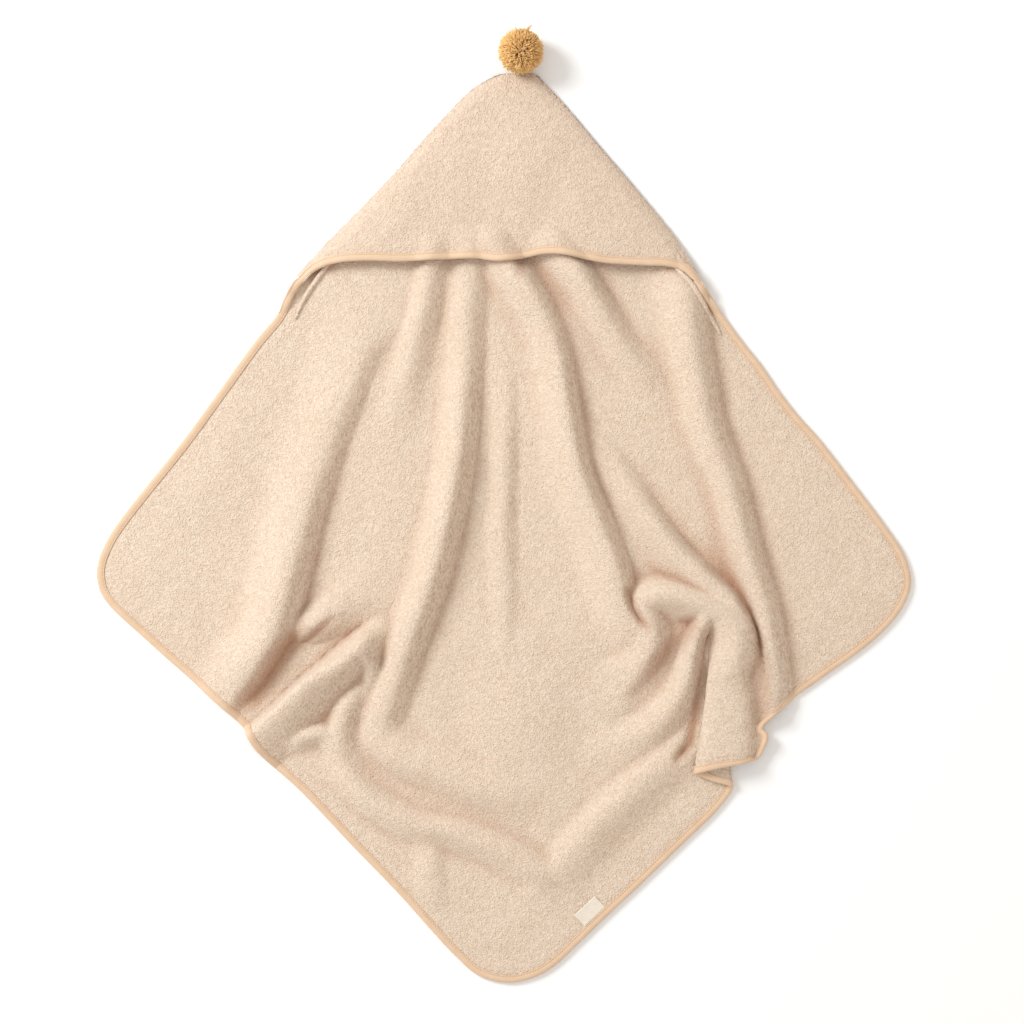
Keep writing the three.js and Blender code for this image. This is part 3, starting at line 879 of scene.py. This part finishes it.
def build_knot(material):
    """A small sewn knot: three crossing turns of thread."""
    low, high = box_mm("pompom_tie_knot")
    centre = (low + high) / 2
    radius = (high - low).min() / 2 - 0.45
    vertices, faces = [], []
    for axis in ([1, 0, 0.3], [0.4, 1, 0], [0.2, 0.5, 1]):
        axis = unit(np.array(axis, float))
        beside = unit(np.cross(axis, [0, 0.3, 1.0]))
        over = np.cross(axis, beside)
        angle = np.linspace(0, 2 * np.pi, 21)[:, None]
        ring = centre + radius * (np.cos(angle) * beside + np.sin(angle) * over)
        for part in (ring[:8], ring[7:15], ring[14:]):
            add_strand(vertices, faces, part, np.full(len(part), 0.5))
    return new_piece("pompom_tie_thread", vertices, faces, material)


# ---------------------------------------------------------------- label

LABEL_LENGTH = 31.0
LABEL_WIDTH = 17.0
LABEL_LAYER = 0.35
LABEL_GAP = 0.5


def label_axes():
    """Middle of the label's sewn edge, the way along it, and the way across it."""
    hinge = next(j for j in frame["joints"] if j["name"] == "label_flip")
    along = unit(np.array(hinge["axis"], float))
    across = np.array([-along[1], along[0], 0.0])
    middle = middle_mm("label_tab") - across * LABEL_WIDTH / 2
    return middle, along, across


def build_label(material):
    """A folded tab: two woven layers joined by a soft fold at the free edge."""
    middle, along, across = label_axes()
    rows, columns = 31, 20
    shares = np.linspace(0, 1, columns)
    outer = [(share * LABEL_WIDTH, share) for share in shares]
    turns = np.linspace(0, math.pi, 9)[1:-1]
    opening = LABEL_GAP / 2

    def folded(layer):
        """One face of the strip: along its top layer, round the fold, and back beneath."""
        path = [(o, s, opening * open_share(s) + layer) for o, s in outer]
        radius = opening * open_share(1.0) + layer
        path += [(LABEL_WIDTH + radius * math.sin(t), 1.0, radius * math.cos(t)) for t in turns]
        path += [(o, s, -opening * open_share(s) - layer) for o, s in outer[::-1]]
        return path

    section = folded(LABEL_LAYER) + folded(0.0)[::-1]
    rings = []
    for r in range(rows):
        place = (r / (rows - 1) - 0.5) * LABEL_LENGTH
        ring = []
        for out, share, level in section:
            lift = 2.3 * share ** 1.7 + 0.5 * math.sin(2.5 + place * 0.17) * share
            lift += 0.3 * share * (place / LABEL_LENGTH * 2) ** 2
            ring.append(middle + along * place + across * out + np.array([0, 0, lift + level]))
        rings.append(ring)
    size = len(section)
    quads, index = ring_quads(rows, size)
    half = size // 2
    caps = [[int(row[i]), int(row[i + 1]), int(row[size - 2 - i]), int(row[size - 1 - i])]
            for row in (index[0], index[-1]) for i in range(half - 1)]
    return new_piece("label_woven", np.reshape(rings, (-1, 3)), quads + caps, material)


def open_share(share):
    """How far the label's two layers stand apart, from the sewn edge to the fold."""
    return 0.35 + 0.65 * min(1.0, 1.6 * share)


def build_label_stitches(material):
    """The short stitches along the label's sewn edge."""
    middle, along, across = label_axes()
    share = np.linspace(-0.48, 0.48, 40)[:, None] * LABEL_LENGTH
    inward, above = 1.4, 0.5
    points = middle + across * inward + along * share + np.array([0, 0, above])
    normals = np.tile([0.0, 0.0, 1.0], (len(points), 1))
    return stitch_row("label_stitches", points, normals, material, radius=0.28, length=1.9,
                      step=2.4)


# ---------------------------------------------------------------- materials

def node_material(name):
    """A new material, its node tree and its shader."""
    material = bpy.data.materials.new(name)
    material.use_nodes = True
    tree = material.node_tree
    shader = tree.nodes["Principled BSDF"]
    return material, tree, shader


def add_node(tree, kind, **values):
    """A node with the given socket values and settings."""
    node = tree.nodes.new(kind)
    for key, value in values.items():
        if key in node.inputs:
            node.inputs[key].default_value = value
        else:
            setattr(node, key, value)
    return node


def blend_colours(tree, amount, first, second):
    """A mix of two colours, each of them a constant or a node's output."""
    mix = add_node(tree, "ShaderNodeMix", data_type="RGBA")
    tree.links.new(amount, mix.inputs[0])
    for socket, colour in ((mix.inputs[6], first), (mix.inputs[7], second)):
        if isinstance(colour, tuple):
            socket.default_value = (*colour, 1)
        else:
            tree.links.new(colour, socket)
    return mix.outputs[2]


def remap(tree, value, low, high, to_low=0.0, to_high=1.0):
    node = add_node(tree, "ShaderNodeMapRange", **{
        "From Min": low, "From Max": high, "To Min": to_low, "To Max": to_high})
    tree.links.new(value, node.inputs["Value"])
    return node.outputs["Result"]


def product(tree, first, second):
    node = add_node(tree, "ShaderNodeMath", operation="MULTIPLY")
    tree.links.new(first, node.inputs[0])
    tree.links.new(second, node.inputs[1])
    return node.outputs[0]


def bump(tree, height, strength, distance, beneath=None, invert=False):
    """A surface normal from a height; the distance is in millimetres."""
    node = add_node(tree, "ShaderNodeBump", Strength=strength, Distance=distance * MM,
                    invert=invert)
    tree.links.new(height, node.inputs["Height"])
    if beneath:
        tree.links.new(beneath, node.inputs["Normal"])
    return node.outputs["Normal"]


def set_surface(shader, roughness, specular, sheen, sheen_roughness):
    shader.inputs["Roughness"].default_value = roughness
    shader.inputs["Specular IOR Level"].default_value = specular
    shader.inputs["Sheen Weight"].default_value = sheen
    shader.inputs["Sheen Roughness"].default_value = sheen_roughness


def object_place(tree):
    return tree.nodes.new("ShaderNodeTexCoord").outputs["Object"]


def noise(tree, place, scale, detail=2.0, roughness=0.5, distortion=0.0):
    node = add_node(tree, "ShaderNodeTexNoise", Scale=scale, Detail=detail, Roughness=roughness,
                    Distortion=distortion)
    tree.links.new(place, node.inputs["Vector"])
    return node.outputs["Fac"]


def terry_material():
    material, tree, shader = node_material("terry_cotton")
    place = object_place(tree)
    loops = add_node(tree, "ShaderNodeTexVoronoi", Scale=520.0, Randomness=1.0)
    tree.links.new(place, loops.inputs["Vector"])
    curls = noise(tree, place, 620, 3.0, 0.65, 0.6)
    tufts = noise(tree, place, 240, 2.0, 0.6, 0.4)
    patches = noise(tree, place, 26, 3.0, 0.55)
    deep = remap(tree, loops.outputs["Distance"], 0.15, 0.75)
    base = blend_colours(tree, remap(tree, patches, 0.3, 0.7), (0.80, 0.69, 0.57),
                      (0.85, 0.75, 0.64))
    flecks = blend_colours(tree, remap(tree, curls, 0.36, 0.66, 0.15, 0.85), (0.66, 0.485, 0.355),
                           base)
    colour = blend_colours(tree, remap(tree, tufts, 0.40, 0.64, 0.0, 0.30), flecks,
                           (0.96, 0.86, 0.74))
    # Painted shade: slopes that face away from the key light, to the right and down, get dark
    # streaks between the loops
    facing_away_from_key = add_node(tree, "ShaderNodeVectorMath", operation="DOT_PRODUCT")
    tree.links.new(tree.nodes.new("ShaderNodeTexCoord").outputs["Normal"], facing_away_from_key.inputs[0])
    facing_away_from_key.inputs[1].default_value = (0.9, -0.4, 0.0)
    stretched = add_node(tree, "ShaderNodeMapping", Scale=(1.0, 0.4, 1.0))
    tree.links.new(place, stretched.inputs["Vector"])
    shade_streaks = noise(tree, stretched.outputs["Vector"], 480, 3.0, 0.65, 0.8)
    painted_slope_shade = product(tree, remap(tree, facing_away_from_key.outputs["Value"], 0.12, 0.6, 0.06, 0.68),
                    remap(tree, shade_streaks, 0.47, 0.62))
    colour = blend_colours(tree, painted_slope_shade, colour, (0.50, 0.30, 0.19))
    # Painted shade: the crease and pocket value darkens and warms the cloth's colour in the folds'
    # creases and pockets
    crease_shade = add_node(tree, "ShaderNodeAttribute", attribute_name="crease_shade")
    crease_shaded = blend_colours(tree, remap(tree, crease_shade.outputs["Fac"], 0.08, 1.0, 0.0, 0.8),
                            colour, (0.42, 0.20, 0.11))
    tree.links.new(crease_shaded, shader.inputs["Base Color"])
    set_surface(shader, roughness=0.95, specular=0.15, sheen=0.35, sheen_roughness=0.6)
    shader.inputs["Sheen Tint"].default_value = (1.0, 0.93, 0.84, 1)
    pile = bump(tree, curls, 0.75, 1.3)
    rows = bump(tree, deep, 0.55, 1.1, pile, invert=True)
    tree.links.new(bump(tree, tufts, 0.5, 2.2, rows), shader.inputs["Normal"])
    return material


def woven_material(name, low, high, scale, sheen=0.2, depth=0.25):
    """A plain weave: two crossing sets of fine ribs, with slubs and uneven dye."""
    material, tree, shader = node_material(name)
    place = object_place(tree)
    ribs = []
    for turn in (math.radians(45), math.radians(-45)):
        turned = add_node(tree, "ShaderNodeMapping", Rotation=(0, 0, turn))
        tree.links.new(place, turned.inputs["Vector"])
        wave = add_node(tree, "ShaderNodeTexWave", Scale=scale, Distortion=0.6, Detail=1.0,
                        **{"Detail Scale": 2.0})
        tree.links.new(turned.outputs["Vector"], wave.inputs["Vector"])
        ribs.append(wave.outputs["Fac"])
    weave = product(tree, *ribs)
    uneven = noise(tree, place, 90, 3.0, 0.6)
    base = blend_colours(tree, remap(tree, uneven, 0.3, 0.7), low, high)
    shaded = blend_colours(tree, remap(tree, weave, 0.0, 1.0, 0.22, 0.0), base,
                           tuple(0.55 * c for c in low))
    tree.links.new(shaded, shader.inputs["Base Color"])
    set_surface(shader, roughness=0.8, specular=0.3, sheen=sheen, sheen_roughness=0.45)
    creases = bump(tree, uneven, 0.3, 1.0, bump(tree, weave, 0.5, depth))
    tree.links.new(creases, shader.inputs["Normal"])
    return material


def yarn_material():
    material, tree, shader = node_material("pompom_wool")
    place = object_place(tree)
    fibres = noise(tree, place, 900, 3.0, 0.6, 0.5)
    strands = noise(tree, place, 260, 2.0, 0.5)
    patches = noise(tree, place, 60, 2.0, 0.5)
    low, high = box_mm("pompom_ball")
    radius = (high - low).max() / 2 * MM
    # Painted shade: the yarn darkens toward the pompom's middle, where the strands shade each
    # other
    offset = add_node(tree, "ShaderNodeVectorMath", operation="DISTANCE")
    offset.inputs[1].default_value = tuple((low + high) / 2 * MM)
    tree.links.new(place, offset.inputs[0])
    depth = remap(tree, offset.outputs["Value"], radius * 0.7, radius * 0.98)
    bright = blend_colours(tree, remap(tree, strands, 0.35, 0.65), (0.70, 0.40, 0.13),
                        (0.88, 0.59, 0.25))
    varied = blend_colours(tree, remap(tree, patches, 0.35, 0.7, 0.0, 0.35), bright,
                           (0.95, 0.72, 0.36))
    colour = blend_colours(tree, depth, (0.46, 0.21, 0.06), varied)
    tree.links.new(colour, shader.inputs["Base Color"])
    set_surface(shader, roughness=0.85, specular=0.2, sheen=0.3, sheen_roughness=0.5)
    tree.links.new(bump(tree, fibres, 0.5, 0.4), shader.inputs["Normal"])
    return material


def floor_material():
    material, tree, shader = node_material("pale_floor")
    place = object_place(tree)
    grain = noise(tree, place, 40, 2.0, 0.5)
    colour = blend_colours(tree, grain, (0.93, 0.955, 0.99), (0.95, 0.975, 1.0))
    tree.links.new(colour, shader.inputs["Base Color"])
    shader.inputs["Roughness"].default_value = 0.9
    return material


# ---------------------------------------------------------------- camera, light and floor

FRAME_WIDTH = 1126.4 * MM      # what the picture's width covers at the floor
CAMERA_HEIGHT = 3.2
CAMERA_PLACE = (8.8 * MM, -3.9 * MM)
FLOOR_SIDE = 28.0


def set_camera():
    data = bpy.data.cameras.new("camera")
    data.sensor_width = 36.0
    data.lens = data.sensor_width * CAMERA_HEIGHT / FRAME_WIDTH
    data.clip_end = 50
    camera = add_to_scene("camera", data)
    camera.location = (*CAMERA_PLACE, CAMERA_HEIGHT)
    bpy.context.scene.camera = camera


def area_light(name, place, size, power, colour):
    data = bpy.data.lights.new(name, "AREA")
    data.shape = "SQUARE"
    data.size = size
    data.energy = power
    data.color = colour
    light = add_to_scene(name, data)
    light.location = place
    light.rotation_euler = (-Vector(place)).to_track_quat("-Z", "Y").to_euler()


def set_stage():
    area_light("key", (-2.75, 1.75, 2.3), 1.4, 118, (0.985, 1.0, 0.995))
    area_light("fill", (3.4, -2.6, 4.0), 3.0, 20, (1.0, 0.98, 0.955))
    world = bpy.data.worlds.new("studio")
    world.use_nodes = True
    world.node_tree.nodes["Background"].inputs["Color"].default_value = (1.0, 0.93, 0.86, 1)
    world.node_tree.nodes["Background"].inputs["Strength"].default_value = 0.77
    bpy.context.scene.world = world
    bpy.context.scene.view_settings.view_transform = "Standard"
    half = FLOOR_SIDE / 2
    mesh = bpy.data.meshes.new("floor")
    mesh.from_pydata([(-half, -half, 0), (half, -half, 0), (half, half, 0), (-half, half, 0)],
                     [], [(0, 1, 2, 3)])
    mesh.materials.append(floor_material())
    add_to_scene("floor", mesh)


# ---------------------------------------------------------------- putting it together

set_camera()
set_stage()

terry = terry_material()
cotton_tape = woven_material("edge_tape_cotton", (0.77, 0.56, 0.39), (0.82, 0.62, 0.45), 420)
sewing = woven_material("sewing_thread", (0.70, 0.46, 0.27), (0.78, 0.54, 0.33), 1500, depth=0.08)
label_cloth = woven_material("label_satin", (0.88, 0.80, 0.69), (0.93, 0.87, 0.77), 700,
                             sheen=0.3, depth=0.12)
wool = yarn_material()


def declare(piece, body_name, node=None):
    """Puts the piece in its body, and hides the node that it stands for."""
    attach(piece, body_name)
    if node:
        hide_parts(node)
    return piece


body = declare(build_body(terry), "towel", "body_panel")
hood = declare(build_hood(terry), "towel", "hood_panel")
edge_line = smooth_curve(BOUND_EDGE, 1100)
edge_tape = declare(build_tape("edge_tape", edge_line, body_surface, cotton_tape),
                    "towel", "edge_binding")
hood_tape = declare(build_tape("hood_tape", hood_tape_line, hood_tape_surface, cotton_tape),
                    "towel", "hood_front_binding")
edge_stitches = declare(
    tape_stitches("edge_tape_stitches", edge_line, body_surface, sewing), "towel")
hood_stitches = declare(
    tape_stitches("hood_tape_stitches", hood_tape_line[LOOSE_ENDS:-LOOSE_ENDS],
                  hood_tape_surface, sewing), "towel")
label_stitches = declare(build_label_stitches(sewing), "label")
for side, route in ALLOWANCE_ROUTES.items():
    declare(build_allowance("seam_allowance_" + side, route, terry),
            "towel", "hood_seam_allowance_" + side)
declare(build_pompom(wool), "pompom", "pompom_ball")
declare(build_tuft(wool), "pompom", "pompom_tuft")
declare(build_core(sewing), "pompom", "pompom_core_thread")
declare(build_knot(sewing), "pompom_tie", "pompom_tie_knot")
label = declare(build_label(label_cloth), "label", "label_tab")
